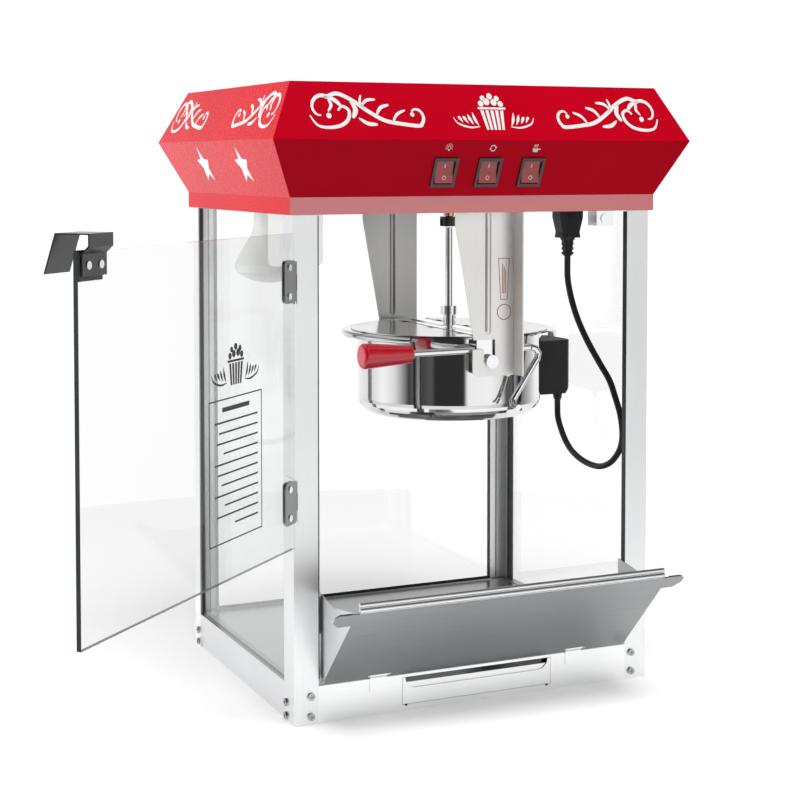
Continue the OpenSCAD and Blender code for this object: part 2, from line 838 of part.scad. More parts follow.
module lid_bar() {
    edge = lid_axis_dx - 3;
    color("silver") at_kettle() difference() {
        union() {
            block([-edge, -lid_r, rim_z], [edge, lid_r, rim_z + 1.4]);
            block([-3, -92, rim_z + 1.4], [3, -14, rim_z + 2.4]);
            block([-3, 14, rim_z + 1.4], [3, 92, rim_z + 2.4]);
            cylinder_at(0, 0, rim_z - 6, 8, 7.4);
            both_sides() {
                bar_y(-lid_axis_dx, lid_axis_z, wire_r, -76, 76);
                for (y = [-76, -6, 64])
                    block([-lid_axis_dx - 1.4, y, lid_axis_z - 1.6], [-edge + 1, y + 12, rim_z]);
                block([-edge, -88, rim_z - 5], [-edge + 1.2, 88, rim_z]);
            }
        }
        cylinder_at(0, 0, rim_z - 8, stub_r + 0.06, 12);
        cylinder_at(0, -70, rim_z - 1, 2, 12);
    }
}

module cylinder_at(x, y, z, r, h) {
    translate([x, y, z]) cylinder(r = r, h = h);
}

lid_z = rim_z + 0.3;

module half_lid() {
    edge = lid_axis_dx + 0.4;
    difference() {
        union() {
            intersection() {
                cylinder_at(0, 0, lid_z, lid_r, 1);
                block([-lid_r - 1, -lid_r, lid_z - 1], [-edge, lid_r, lid_z + 2]);
            }
            for (y = [[-63.5, -6.5], [6.5, 63.5]])
                bar_y(-lid_axis_dx, lid_axis_z, 1.6, y[0], y[1]);
            for (y = [[-63.5, -6.5], [6.5, 63.5]])
                block([-edge - 1, y[0], lid_axis_z], [-edge, y[1], lid_z + 0.5]);
        }
        bar_y(-lid_axis_dx, lid_axis_z, wire_r + 0.06, -80, 80);
        for (y = [-77, -7, 63])
            block([-edge - 5, y, lid_z - 3], [-edge + 3, y + 14, lid_z + 2]);
        // Set back over the pan's rim, which the open lid stands clear of
        both_ends() block([-edge - 1.6, 92, lid_z - 1], [-edge + 3, lid_r, lid_z + 2]);
    }
}

module lid_left() { color("silver") at_kettle() half_lid(); }
module lid_right() { color("silver") at_kettle() mirror([1, 0, 0]) half_lid(); }

// A bracket riveted to the shell, with a headed trunnion through the hanger
module trunnion() {
    web = hanger_y - 2.6;
    difference() {
        union() {
            block([18, -web, 322], [55, -web + 1.5, rim_z]);
            block([18, -web, 322], [55, -pot_r + 12, 323.5]);
            block([18, -web, 351], [55, -pot_r + 12, 352.5]);
        }
        at_kettle() cylinder_at(0, 0, 300, pot_r, 80);
    }
    bar_y(trunnion_x, trunnion_z, pin_r, -hanger_y - 1.2, -web);
    bar_y(trunnion_x, trunnion_z, 6.8, -hanger_y - 4.2, -hanger_y - 1.2);
}

module trunnions() {
    color("silver") both_ends() trunnion();
}

// Bent rod that tilts the kettle: start, elbow, foot and the foot's turned-out tip
rod_y = -hanger_y + 7.5;
rod_r = 3.4;
rod_points = [
    [-92, rod_y, 345.6], [82, rod_y, 346.6], [88.5, rod_y, 344.5], [91.6, rod_y, 340], [90.6, rod_y, 334.5],
    [62, rod_y, 292.5], [60.8, rod_y - 3, 288.6], [62, rod_y - 12, 286]
];

module rod_piece(a, b, r) {
    d = b - a;
    translate(a) rotate([0, acos(d[2] / norm(d)), atan2(d[1], d[0])]) cylinder(r = r, h = norm(d));
}

module tilt_rod() {
    color("silver") for (i = [0:len(rod_points) - 2]) {
        rod_piece(rod_points[i], rod_points[i + 1], rod_r);
        if (i > 0) translate(rod_points[i]) sphere(r = rod_r + 0.2);
    }
}

module handle_grip() {
    color("crimson") difference() {
        translate([-108, rod_y, 345.6]) rotate([0, 90, 0]) rotate_extrude() polygon(concat(
            [[0, 0], [9, 0]],
            arc(9, 4, 4, -90, 0, 5),
            [[9, 54], [8, 55], [0, 55]]
        ));
        rod_piece(rod_points[0], rod_points[1], rod_r);
    }
}

box_low = 283;
box_high = 342;
cord_start = [167, -20, 276];

module terminal_box() {
    color("black") {
        difference() {
            translate([0, 0, box_low]) linear_extrude(box_high - box_low) polygon(concat(
                [[138, -29], [170, -29]], arc(170, -19, 10, -90, 0, 6), arc(170, 19, 10, 0, 90, 6), [[138, 29]]
            ));
            at_kettle() cylinder_at(0, 0, 270, pot_r, 90);
            block([146, -26, box_low + 2], [176, 26, box_high - 2]);
            rotate([90, 0, 0]) translate([0, 0, -40]) linear_extrude(80)
                polygon([[181, box_low - 1], [181, box_low + 9], [171, box_low - 1]]);
        }
        translate([cord_start[0], cord_start[1], cord_start[2]]) cylinder(r1 = 4.2, r2 = 5.4, h = box_low - cord_start[2]);
    }
}

sleeve_z = 361;
coupling_z = 373;

// Stirrer: stub through the lid bar and two blades near the pan's floor
module stirrer() {
    color("silver") at_kettle() {
        cylinder_at(0, 0, 289.2, stub_r, coupling_z - 289.2);
        cylinder_at(0, 0, 297.8, 8, 10);
        for (turn = [20, 200]) rotate([0, 0, turn]) {
            translate([0, 0, 300]) rotate([0, 90, 0]) cylinder(r = 2.2, h = 84);
            translate([30, 0, 300]) rotate([35, 0, 0]) block([0, -5, -0.8], [50, 5, 0.8]);
        }
    }
}

// Upright shaft above the stirrer, ending in a flat tang for the drive collar. A sleeve
// with a collar and two set screws joins it to the stirrer.
module stirrer_shaft() {
    shoulder = collar_z - 1.3;
    color("silver") at_kettle() {
        cylinder_at(0, 0, coupling_z, stub_r, shoulder - coupling_z);
        translate([0, 0, shoulder - 1]) intersection() {
            cylinder(r = stub_r, h = 8.3);
            block([-5, -tang_half, 0], [5, tang_half, 8.3]);
        }
        difference() {
            union() {
                cylinder_at(0, 0, sleeve_z, 6, coupling_z - sleeve_z + 1);
                cylinder_at(0, 0, coupling_z, 9, 9.5);
                for (z = [364, 370]) bar_x(0, z, 1.8, 4.5, 7.4);
            }
            cylinder_at(0, 0, sleeve_z - 1, stub_r + 0.05, 24);
        }
    }
}

// ---------------------------------------------------------------- kettle cord

// Route from the terminal box to the plug, chosen by hand
cord_route = [
    [167, -20, 276], [167, -20, 268], [166, -23, 256], [166, -30, 244], [166, -42, 231], [168, -55, 221],
    [174, -70, 213], [180, -88, 211], [183, -106, 218], [185, -119, 231], [186, -124, 244], [186, -124, 257],
    [185, -121, 273], [182, -116, 290], [178, -111, 307], [171, -102, 325], [162, -93, 347], [155, -84, 370],
    [151, -77, 392], [150, -71, 412], [150, -70, 426], [150, -70, 437.5]
];
cord_half = [3.3, 2.3];
cord_sides = 10;

function unit(v) = v / norm(v);
function route_dir(i) =
    unit(cord_route[min(i + 1, len(cord_route) - 1)] - cord_route[max(i - 1, 0)]);
// The flat cord's wide side stays square to its direction and to this vector
wide_ref = [0.5, 0.86, 0];
function ring(i) = let (
    d = i == 0 || i == len(cord_route) - 1 ? [0, 0, i == 0 ? -1 : 1] : route_dir(i),
    n = unit(cross(d, wide_ref)),
    b = cross(d, n)
) [for (k = [0:cord_sides - 1]) cord_route[i]
    + n * cord_half[0] * cos(360 * k / cord_sides) + b * cord_half[1] * sin(360 * k / cord_sides)];

module kettle_cord() {
    n = cord_sides;
    m = len(cord_route);
    points = [for (i = [0:m - 1], p = ring(i)) p];
    sides = [for (i = [0:m - 2], k = [0:n - 1], half = [0, 1]) half == 0
        ? [i * n + k, (i + 1) * n + k, (i + 1) * n + (k + 1) % n]
        : [i * n + k, (i + 1) * n + (k + 1) % n, i * n + (k + 1) % n]];
    caps = [[for (k = [0:n - 1]) k], [for (k = [0:n - 1]) m * n - 1 - k]];
    color("black") polyhedron(points, concat(sides, caps));
}

module plug_slice(z, w, d) {
    translate([-w / 2, -d / 2, z]) cube([w, d, 0.5]);
}

module kettle_plug() {
    high = skirt_z + 0.8;
    color("black") translate([outlet_x, outlet_y, 0]) {
        hull() {
            plug_slice(high - 0.5, 28, 17);
            plug_slice(high - 10, 28, 17);
        }
        hull() {
            plug_slice(high - 10, 28, 17);
            plug_slice(463, 21, 15);
        }
        hull() {
            plug_slice(463, 21, 15);
            plug_slice(457, 23, 15);
        }
        translate([0, 0, 454.5]) cylinder(r1 = 7.5, r2 = 8.5, h = 4.5);
        translate([0, 0, 437.5]) cylinder(r1 = 4.6, r2 = 6.6, h = 17.5);
        for (z = [439, 444, 449]) translate([0, 0, z]) cylinder(r = 6.5, h = 2.6);
    }
    color("gold") for (side = [-1, 1])
        block([outlet_x + side * 6.35 - 0.75, outlet_y - 3.2, high - 1], [outlet_x + side * 6.35 + 0.75, outlet_y + 3.2, high + 16]);
}

post_front_left();
post_front_right();
post_rear_left();
post_rear_right();
post_screws();
base_front_panel();
base_rail_left();
base_rail_right();
base_rail_rear();
bottom_plate();
floor_deck();
drawer_guides();
crumb_drawer();
pane_left();
pane_right();
pane_rear();
pane_seals();
door_trims();
canopy_front();
canopy_rear();
canopy_left();
canopy_right();
top_cover();
ceiling_pan();
hanger_front();
hanger_rear();
gear_motor();
shaft_bush();
drive_collar();
lamp_socket();
flood_bulb();
kettle_outlet();
magnet_catch();
mains_inlet();
switch_housings();
rocker_lamp();
rocker_motor();
rocker_heat();
door_hinge_leaves();
door_glass();
door_hinge_clamps();
door_screws();
door_pull();
door_pad();
flap_rod();
flap();
kettle_pan();
kettle_shell();
heater();
lid_bar();
lid_left();
lid_right();
trunnions();
tilt_rod();
handle_grip();
terminal_box();
stirrer();
stirrer_shaft();
kettle_cord();
kettle_plug();
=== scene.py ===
import math

import bmesh
import bpy
from mathutils import Matrix, Vector


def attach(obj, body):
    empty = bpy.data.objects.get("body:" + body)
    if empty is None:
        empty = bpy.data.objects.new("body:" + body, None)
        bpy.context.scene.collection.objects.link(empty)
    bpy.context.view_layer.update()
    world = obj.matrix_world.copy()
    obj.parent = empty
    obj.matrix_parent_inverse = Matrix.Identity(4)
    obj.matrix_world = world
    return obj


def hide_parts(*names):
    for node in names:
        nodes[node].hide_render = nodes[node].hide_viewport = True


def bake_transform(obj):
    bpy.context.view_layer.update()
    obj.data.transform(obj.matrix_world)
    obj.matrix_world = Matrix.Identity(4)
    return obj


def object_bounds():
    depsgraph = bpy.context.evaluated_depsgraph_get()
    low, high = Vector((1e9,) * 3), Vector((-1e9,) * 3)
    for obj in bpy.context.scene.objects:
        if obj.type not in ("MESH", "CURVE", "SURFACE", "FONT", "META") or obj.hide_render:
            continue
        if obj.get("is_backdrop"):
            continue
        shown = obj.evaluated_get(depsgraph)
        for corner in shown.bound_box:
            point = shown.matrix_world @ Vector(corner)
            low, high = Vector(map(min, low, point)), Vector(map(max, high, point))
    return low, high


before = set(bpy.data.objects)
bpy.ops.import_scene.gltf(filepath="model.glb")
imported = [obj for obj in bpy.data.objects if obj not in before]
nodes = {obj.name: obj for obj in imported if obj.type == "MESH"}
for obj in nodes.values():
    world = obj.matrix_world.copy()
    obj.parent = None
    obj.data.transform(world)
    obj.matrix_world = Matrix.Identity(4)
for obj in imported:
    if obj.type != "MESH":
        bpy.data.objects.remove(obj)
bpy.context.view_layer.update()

# ------------------------------------------------------------------ camera

PITCH, YAW = 2.739, 24.3126

camera_data = bpy.data.cameras.new("camera")
camera_data.lens = 76.03
camera_data.sensor_width = 36.0
camera_data.shift_y = -0.1973
camera_data.clip_start = 0.05
camera_data.clip_end = 60.0
camera = bpy.data.objects.new("camera", camera_data)
bpy.context.scene.collection.objects.link(camera)
camera.location = (-0.757, -1.6421, 0.5384)
camera.rotation_euler = (math.radians(90 - PITCH), 0.0, math.radians(-YAW))
bpy.context.scene.camera = camera
bpy.context.scene.view_settings.view_transform = "Standard"

# ------------------------------------------------------------------ materials


class Shader:
    """A small helper that builds one procedural material."""

    def __init__(self, name):
        self.material = bpy.data.materials.new(name)
        self.material.use_nodes = True
        self.tree = self.material.node_tree
        self.bsdf = self.tree.nodes["Principled BSDF"]
        self.coord = self.tree.nodes.new("ShaderNodeTexCoord")

    def put(self, socket, value):
        self.bsdf.inputs[socket].default_value = value

    def link(self, a, b):
        self.tree.links.new(a, b)

    def tint(self, source, stops):
        self.link(self.ramp(source, stops), self.bsdf.inputs["Base Color"])

    def gloss(self, source, low, high):
        self.link(self.span(source, low, high), self.bsdf.inputs["Roughness"])

    def noise(self, scale, stretch=(1, 1, 1), detail=3.0, rough=0.55):
        mapping = self.tree.nodes.new("ShaderNodeMapping")
        mapping.inputs["Scale"].default_value = stretch
        self.link(self.coord.outputs["Object"], mapping.inputs["Vector"])
        noise = self.tree.nodes.new("ShaderNodeTexNoise")
        noise.inputs["Scale"].default_value = scale
        noise.inputs["Detail"].default_value = detail
        noise.inputs["Roughness"].default_value = rough
        self.link(mapping.outputs["Vector"], noise.inputs["Vector"])
        return noise.outputs["Fac"]

    def ramp(self, source, stops):
        ramp = self.tree.nodes.new("ShaderNodeValToRGB")
        elements = ramp.color_ramp.elements
        while len(elements) < len(stops):
            elements.new(0.5)
        for element, (place, color) in zip(elements, stops):
            element.position = place
            element.color = (*color, 1.0) if len(color) == 3 else color
        self.link(source, ramp.inputs["Fac"])
        return ramp.outputs["Color"]

    def span(self, source, low, high):
        span = self.tree.nodes.new("ShaderNodeMapRange")
        span.inputs["To Min"].default_value = low
        span.inputs["To Max"].default_value = high
        self.link(source, span.inputs["Value"])
        return span.outputs["Result"]

    def bump(self, source, strength, distance):
        bump = self.tree.nodes.new("ShaderNodeBump")
        bump.inputs["Strength"].default_value = strength
        bump.inputs["Distance"].default_value = distance
        self.link(source, bump.inputs["Height"])
        if self.bsdf.inputs["Normal"].links:
            self.link(self.bsdf.inputs["Normal"].links[0].from_socket, bump.inputs["Normal"])
        self.link(bump.outputs["Normal"], self.bsdf.inputs["Normal"])


def shade(color, f):
    return tuple(min(1.0, c * f) for c in color)


def painted(name, color, rough, specular, coat=0.0, coat_ior=1.5):
    """Powder coat with a faint orange peel."""
    s = Shader(name)
    cloud = s.noise(9.0, detail=2.0)
    s.tint(cloud, [(0.3, shade(color, 0.95)), (0.7, shade(color, 1.04))])
    s.put("Specular IOR Level", specular)
    s.put("Coat Weight", coat)
    s.put("Coat IOR", coat_ior)
    s.put("Coat Roughness", 0.2)
    peel = s.noise(900.0, detail=1.0)
    s.gloss(peel, rough - 0.05, rough + 0.07)
    s.bump(peel, 0.02, 0.0002)
    return s.material


def metal(name, color, rough, stretch, scale, bump, patch, spread=0.08, metallic=1.0):
    """Sheet metal with a grain: stretch is small along the grain and large across it."""
    s = Shader(name)
    s.put("Metallic", metallic)
    grain = s.noise(scale, stretch, detail=4.0, rough=0.7)
    cloud = s.noise(7.0, detail=2.0)
    tone = s.tree.nodes.new("ShaderNodeMix")
    tone.data_type = "RGBA"
    tone.blend_type = "MULTIPLY"
    tone.inputs["Factor"].default_value = 1.0
    bands = [(0.25, shade(color, 1 - patch)), (0.75, shade(color, 1 + patch))]
    s.link(s.ramp(grain, bands), tone.inputs["A"])
    s.link(s.ramp(cloud, [(0.3, (0.93, 0.93, 0.93)), (0.7, (1, 1, 1))]), tone.inputs["B"])
    s.link(tone.outputs["Result"], s.bsdf.inputs["Base Color"])
    s.gloss(grain, rough - spread / 2, rough + spread / 2)
    s.bump(grain, bump, 0.0001)
    return s.material


def polished(name, color, rough=0.06):
    """Mirror-like metal with wiping marks."""
    s = Shader(name)
    s.put("Metallic", 1.0)
    wipe = s.noise(60.0, detail=4.0)
    smear = s.noise(12.0, detail=3.0)
    s.tint(smear, [(0.3, shade(color, 0.95)), (0.7, color)])
    s.gloss(smear, rough * 0.6, rough * 1.7)
    s.bump(wipe, 0.03, 0.0001)
    return s.material


def plastic(name, color, rough, grain, bump, coat=0.0, patch=0.12):
    """Plastic, rubber, ceramic or ink with a fine grain."""
    s = Shader(name)
    fine = s.noise(grain, detail=2.0)
    cloud = s.noise(14.0, detail=2.0)
    s.tint(cloud, [(0.3, shade(color, 1 - patch)), (0.7, shade(color, 1 + patch))])
    s.gloss(fine, rough - 0.06, rough + 0.08)
    s.put("Coat Weight", coat)
    s.put("Coat Roughness", 0.08)
    s.bump(fine, bump, 0.00015)
    return s.material


FACING_ALPHA, GRAZING_ALPHA = 0.045, 0.85


def clear_glass(name, tint):
    """A thin pane: mostly see-through, more mirror-like at a grazing angle."""
    s = Shader(name)
    s.put("Metallic", 0.85)
    s.put("Roughness", 0.015)
    smear = s.noise(5.0, detail=2.0)
    s.tint(smear, [(0.3, shade(tint, 0.96)), (0.7, tint)])
    facing = s.tree.nodes.new("ShaderNodeLayerWeight")
    facing.inputs["Blend"].default_value = 0.5
    power = s.tree.nodes.new("ShaderNodeMath")
    power.operation = "POWER"
    power.inputs[1].default_value = 4.0
    s.link(facing.outputs["Facing"], power.inputs[0])
    s.link(s.span(power.outputs[0], FACING_ALPHA, GRAZING_ALPHA), s.bsdf.inputs["Alpha"])
    return s.material


# The side panels' red is painted brighter than the front's: a lit copy of the same paint, for the strong
# light from the left
LIT_SIDE_RED = (0.6, 0.001, 0.013)

red = painted("red_paint", (0.52, 0.001, 0.013), 0.3, 0.03)
red_side_lit = painted("red_side_lit", LIT_SIDE_RED, 0.26, 0.1)
red_under = painted("red_under", LIT_SIDE_RED, 0.26, 0.28)
# The skirt's red is painted brighter than the front slopes' red: a lit copy of the same paint, besides its
# glossier coat
lit_red_skirt = painted("lit_red_skirt", (0.62, 0.001, 0.006), 0.3, 0.5, 1.0, 2.3)
post_metal = metal("post_metal", (0.87, 0.88, 0.885), 0.36, (1, 1, 0.02), 900.0, 0.1, 0.03)
rail_metal = metal("rail_metal", (0.86, 0.87, 0.88), 0.36, (1, 0.02, 1), 900.0, 0.1, 0.03)
front_metal = metal("front_metal", (0.93, 0.935, 0.94), 0.34, (0.02, 1, 1), 900.0, 0.1, 0.03)
deck_metal = metal("deck_metal", (0.66, 0.67, 0.68), 0.3, (1, 0.02, 1), 900.0, 0.14, 0.05)
# The flap's face colour is painted shade, darkened for the shaded floor it mirrors; the cheeks get a
# painted-lighter copy of the same metal
shaded_flap_metal = metal("shaded_flap_metal", (0.31, 0.315, 0.32), 0.3, (0.015, 1, 1), 1100.0, 0.3, 0.12, 0.12)
lit_cheek_metal = metal("lit_cheek_metal", (0.78, 0.785, 0.79), 0.32, (1, 1, 0.02), 900.0, 0.15, 0.05)
clamp_metal = metal("clamp_metal", (0.34, 0.345, 0.35), 0.34, (1, 1, 0.03), 900.0, 0.12, 0.05)
sheet_metal = metal("sheet_metal", (0.82, 0.815, 0.8), 0.26, (1, 1, 0.03), 900.0, 0.1, 0.04)
# The front hanger's metal is painted brighter, standing in for light that the canopy's shade takes away
lit_hanger_metal = metal(
    "lit_hanger_metal", (0.97, 0.96, 0.935), 0.4, (1, 1, 0.03), 900.0, 0.1, 0.03, metallic=0.8)
# The rear posts' metal is a painted-lighter copy of the post metal, with a diffuse share added to brighten
# it
lit_rear_post_metal = metal(
    "lit_rear_post_metal", (0.97, 0.98, 0.98), 0.38, (1, 1, 0.02), 900.0, 0.1, 0.03, metallic=0.75)
# The rear hanger gets a painted-darker copy of the same hanger metal: painted shade
shaded_back_hanger_metal = metal("shaded_back_hanger_metal", (0.58, 0.575, 0.56), 0.34, (1, 1, 0.03), 900.0, 0.1, 0.04)
dark_metal = metal("dark_metal", (0.1, 0.1, 0.103), 0.25, (1, 1, 1), 60.0, 0.05, 0.1)
cast_metal = metal("cast_metal", (0.55, 0.56, 0.57), 0.5, (1, 1, 1), 300.0, 0.5, 0.08)
mirror_metal = polished("mirror_metal", (0.77, 0.77, 0.773))
lid_metal = polished("lid_metal", (0.66, 0.66, 0.663), 0.16)
rim_metal = polished("rim_metal", (0.66, 0.66, 0.663), 0.12)
bright_metal = polished("bright_metal", (0.86, 0.865, 0.87), 0.14)
screw_metal = polished("screw_metal", (0.42, 0.42, 0.425), 0.2)
brass = polished("brass", (0.8, 0.6, 0.24), 0.2)
rubber = plastic("rubber", (0.022, 0.022, 0.023), 0.55, 500.0, 0.25)
black = plastic("black_plastic", (0.018, 0.018, 0.02), 0.38, 700.0, 0.2)
box_black = plastic("box_black", (0.008, 0.008, 0.0085), 0.5, 500.0, 0.1)
gloss_black = plastic("gloss_black", (0.012, 0.012, 0.014), 0.2, 500.0, 0.03, 0.4)
cord_black = plastic("cord_black", (0.02, 0.02, 0.022), 0.42, 400.0, 0.15)
ceramic = plastic("ceramic", (0.82, 0.81, 0.77), 0.25, 300.0, 0.05, 0.5, 0.03)
grip_red = plastic("grip_red", (0.58, 0.004, 0.02), 0.2, 200.0, 0.03, 0.6, 0.05)
ink_white = plastic("ink_white", (0.86, 0.84, 0.83), 0.4, 900.0, 0.05, 0.0, 0.02)
ink_black = plastic("ink_black", (0.03, 0.03, 0.03), 0.45, 900.0, 0.05, 0.0, 0.1)
ink_red = plastic("ink_red", (0.5, 0.05, 0.04), 0.45, 900.0, 0.05, 0.0, 0.1)
pane_glass = clear_glass("pane_glass", (0.92, 0.95, 0.94))
swung_glass = clear_glass("swung_glass", (0.4, 0.43, 0.42))
edge_glass = plastic("edge_glass", (0.03, 0.05, 0.045), 0.12, 200.0, 0.02, 0.5, 0.2)

bulb_shader = Shader("shaded_bulb_frost")
frost = bulb_shader.noise(500.0, detail=2.0)
veil = bulb_shader.noise(20.0, (1, 1, 0.4), detail=2.0)
# The frost's grey is painted shade: the white frosted glass is darkened for the shade it sits in under the
# canopy
bulb_shader.tint(veil, [(0.3, (0.6, 0.6, 0.59)), (0.7, (0.74, 0.74, 0.73))])
bulb_shader.gloss(frost, 0.22, 0.4)
bulb_shader.put("Subsurface Weight", 0.3)
bulb_shader.put("Subsurface Radius", (0.01, 0.01, 0.01))
bulb_shader.put("Coat Weight", 0.6)
bulb_shader.bump(frost, 0.08, 0.0001)
shaded_bulb_frost = bulb_shader.material

rocker_shader = Shader("rocker_red")
rock_noise = rocker_shader.noise(120.0, detail=2.0)
rocker_shader.tint(rock_noise, [(0.3, (0.42, 0.004, 0.008)), (0.7, (0.6, 0.01, 0.016))])
rocker_shader.gloss(rock_noise, 0.1, 0.2)
rocker_shader.put("Coat Weight", 0.8)
rocker_shader.put("Coat Roughness", 0.05)
rocker_shader.put("Transmission Weight", 0.25)
rocker_red = rocker_shader.material

looks = {
    "post_front_left": post_metal, "post_front_right": post_metal,
    "post_rear_left": lit_rear_post_metal, "post_rear_right": lit_rear_post_metal,
    "post_screws": screw_metal, "base_front_panel": front_metal,
    "base_rail_left": rail_metal, "base_rail_right": rail_metal, "base_rail_rear": front_metal,
    "bottom_plate": deck_metal, "floor_deck": deck_metal, "drawer_guides": deck_metal,
    "crumb_drawer": front_metal, "pane_left": pane_glass, "pane_right": pane_glass,
    "pane_rear": pane_glass, "pane_seals": rubber, "door_trims": rubber,
    "canopy_front": red, "canopy_rear": red, "canopy_left": red_side_lit, "canopy_right": red_side_lit,
    "top_cover": red, "ceiling_pan": sheet_metal, "hanger_front": lit_hanger_metal,
    "hanger_rear": shaded_back_hanger_metal, "gear_motor": cast_metal, "shaft_bush": brass,
    "drive_collar": gloss_black, "lamp_socket": ceramic, "flood_bulb": shaded_bulb_frost,
    "kettle_outlet": black, "magnet_catch": bright_metal, "mains_inlet": black,
    "switch_housings": gloss_black, "rocker_lamp": rocker_red, "rocker_motor": rocker_red,
    "rocker_heat": rocker_red, "door_hinge_leaves": bright_metal, "door_glass": swung_glass,
    "door_hinge_clamps": clamp_metal, "door_screws": bright_metal, "door_pull": dark_metal,
    "door_pad": rubber, "flap_rod": front_metal, "flap": shaded_flap_metal,
    "kettle_pan": rim_metal, "kettle_shell": mirror_metal, "heater": cast_metal,
    "lid_bar": bright_metal, "lid_left": lid_metal, "lid_right": lid_metal,
    "trunnions": bright_metal, "tilt_rod": bright_metal, "handle_grip": grip_red,
    "terminal_box": box_black, "stirrer": bright_metal, "stirrer_shaft": bright_metal,
    "kettle_cord": cord_black, "kettle_plug": black,
}

bevels = {
    "canopy_front": 0.0006, "canopy_left": 0.0006, "canopy_right": 0.0006, "canopy_rear": 0.0006,
    "post_front_left": 0.0005, "post_front_right": 0.0005, "post_rear_left": 0.0005,
    "post_rear_right": 0.0005, "terminal_box": 0.0018, "kettle_plug": 0.0012, "door_pull": 0.0003,
    "hanger_front": 0.0004, "hanger_rear": 0.0004, "flap": 0.0003, "magnet_catch": 0.0008,
    "switch_housings": 0.0006, "mains_inlet": 0.0006, "kettle_outlet": 0.0008, "lid_bar": 0.0003,
    "base_front_panel": 0.0003, "crumb_drawer": 0.0003, "gear_motor": 0.001,
}

DOOR_TURN, FLAP_TURN = math.radians(-136.6), math.radians(43.5)


def add_bevel(node, label, width, segments, angle):
    bevel = node.modifiers.new(label, "BEVEL")
    bevel.width = width
    bevel.segments = segments
    bevel.limit_method = "ANGLE"
    bevel.angle_limit = math.radians(angle)
    return bevel


def look_on_faces(name, material, chosen):
    """Give a second material to the faces whose normal is chosen."""
    mesh = nodes[name].data
    mesh.materials.append(material)
    for face in mesh.polygons:
        if chosen(face.normal):
            face.material_index = 1


for name, node in nodes.items():
    node.data.materials.clear()
    node.data.materials.append(looks[name])
    if name in bevels:
        add_bevel(node, "bevel", bevels[name], 2, 40)

# The panes' narrow faces show the darker edge of the glass, but the door's edge by its hinges doesn't
for name in ("pane_left", "pane_right"):
    look_on_faces(name, edge_glass, lambda n: abs(n.x) < 0.7)
look_on_faces("pane_rear", edge_glass, lambda n: abs(n.y) < 0.7)
across_door = Vector((-math.sin(DOOR_TURN), math.cos(DOOR_TURN), 0))
along_door = Vector((math.cos(DOOR_TURN), math.sin(DOOR_TURN), 0))
look_on_faces("door_glass", edge_glass, lambda n: abs(n.dot(across_door)) < 0.7 and n.dot(along_door) > -0.9)
add_bevel(nodes["door_glass"], "chamfer", 0.0011, 1, 60).material = 1

# The metal mirrors the studio as if the panes weren't there
for name in ("pane_left", "pane_right", "pane_rear", "door_glass"):
    nodes[name].visible_glossy = False

# The upright skirt of the front panel is glossier than its two slopes, and its red is painted brighter than
# theirs as a lit copy of the same paint
look_on_faces("canopy_front", lit_red_skirt, lambda n: n.y < -0.99)

# The lower slope of the side panels picks up more light than the upper one
for name in ("canopy_left", "canopy_right"):
    look_on_faces(name, red_under, lambda n: n.z < -0.2)

# The flap's brushed face is painted dark for the shaded floor it mirrors, and its cheeks and beaded lip get
# a painted-lighter copy of the same metal
flap_out = Vector((0, -math.cos(FLAP_TURN), -math.sin(FLAP_TURN)))
look_on_faces("flap", lit_cheek_metal, lambda n: n.dot(flap_out) < 0.97)

# ------------------------------------------------------------------ mesh helpers

MM = 0.001


def add_mesh(name, verts, faces, material, body, smooth_angle=None):
    mesh = bpy.data.meshes.new(name)
    mesh.from_pydata([tuple(v) for v in verts], [], faces)
    mesh.validate()
    bm = bmesh.new()
    bm.from_mesh(mesh)
    bmesh.ops.recalc_face_normals(bm, faces=bm.faces)
    bm.to_mesh(mesh)
    bm.free()
    mesh.materials.append(material)
    if smooth_angle:
        mesh.polygons.foreach_set("use_smooth", [True] * len(mesh.polygons))
        mesh.set_sharp_from_angle(angle=math.radians(smooth_angle))
    piece = bpy.data.objects.new(name, mesh)
    bpy.context.scene.collection.objects.link(piece)
    if body:
        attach(piece, body)
    return piece


def curve_through(points, steps):
    """Catmull-Rom points through the given ones; steps is a number or one number per stretch."""
    pts = [Vector(p) for p in points]
    out = []
    count = len(pts) - 1
    for i in range(count):
        a = pts[max(i - 1, 0)]
        b, c = pts[i], pts[i + 1]
        d = pts[min(i + 2, count)]
        n = steps[i] if isinstance(steps, list) else steps
        for k in range(n):
            t = k / n
            out.append(0.5 * ((2 * b) + (c - a) * t + (2 * a - 5 * b + 4 * c - d) * t * t
                              + (3 * b - a - 3 * c + d) * t * t * t))
    out.append(pts[-1])
    return out


def tube(points, ring_at, sides):
    """Vertices and faces of a closed tube; ring_at(point, direction) gives a ring."""
    verts, faces = [], []
    for i, p in enumerate(points):
        d = (points[min(i + 1, len(points) - 1)] - points[max(i - 1, 0)]).normalized()
        verts += ring_at(p, d)
    for i in range(len(points) - 1):
        for k in range(sides):
            faces.append((i * sides + k, i * sides + (k + 1) % sides,
                          (i + 1) * sides + (k + 1) % sides, (i + 1) * sides + k))
    faces.append(tuple(range(sides - 1, -1, -1)))
    faces.append(tuple((len(points) - 1) * sides + k for k in range(sides)))
    return verts, faces


# ------------------------------------------------------------------ kettle cord

CORD_SIDES = 20
CORD_HALF_WIDE, CORD_HALF_THIN = 3.3, 2.25

# From the terminal box's gland, down, back up and into the plug, in mm
route = [
    (167, -20, 276), (167, -20, 268), (166, -23, 256), (166, -30, 244), (166, -42, 231), (168, -55, 221),
    (174, -70, 213), (180, -88, 211), (183, -106, 218), (185, -119, 231), (186, -124, 244), (186, -124, 257),
    (185, -121, 273), (182, -116, 290), (178, -111, 307), (171, -102, 325), (162, -93, 347), (155, -84, 370),
    (151, -77, 392), (150, -71, 412), (150, -70, 426), (150, -70, 437.5),
]
